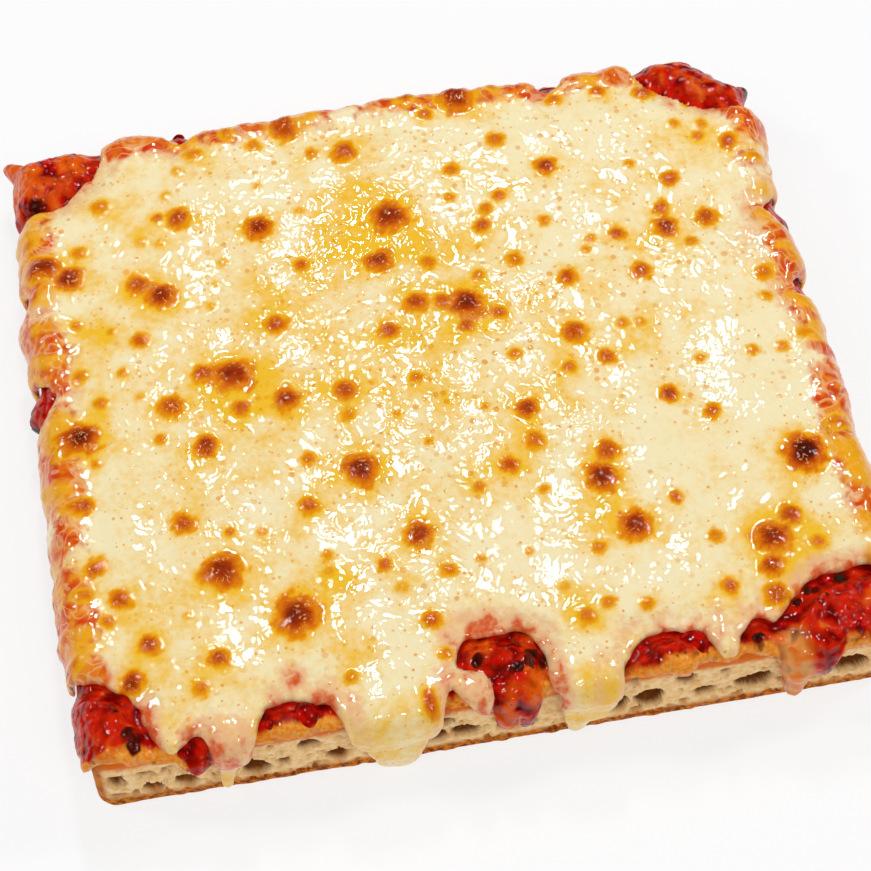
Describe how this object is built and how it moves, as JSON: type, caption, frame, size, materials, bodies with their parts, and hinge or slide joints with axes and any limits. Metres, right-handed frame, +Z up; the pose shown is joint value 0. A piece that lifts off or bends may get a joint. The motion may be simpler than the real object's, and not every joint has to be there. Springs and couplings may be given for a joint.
{
  "type": "pizza slice",
  "caption": "Square slice of tray-baked pizza with an open bread crumb, tomato sauce and melted mozzarella running over its edges.",
  "frame": {"origin": "centre of the bottom of the slice, on the face it rests on", "axes": "+Z up, +X to the right along the cut front face, the cut face looks along -Y"},
  "size_m": [0.1525, 0.1419, 0.0223],
  "materials": {
    "baked_bread": "matte",
    "tomato_sauce": "wet gloss",
    "melted_cheese": "oily satin"
  },
  "bodies": {
    "root": {"bread_base": "baked_bread", "tomato_sauce": "tomato_sauce", "mozzarella": "melted_cheese"}
  },
  "joints": []
}
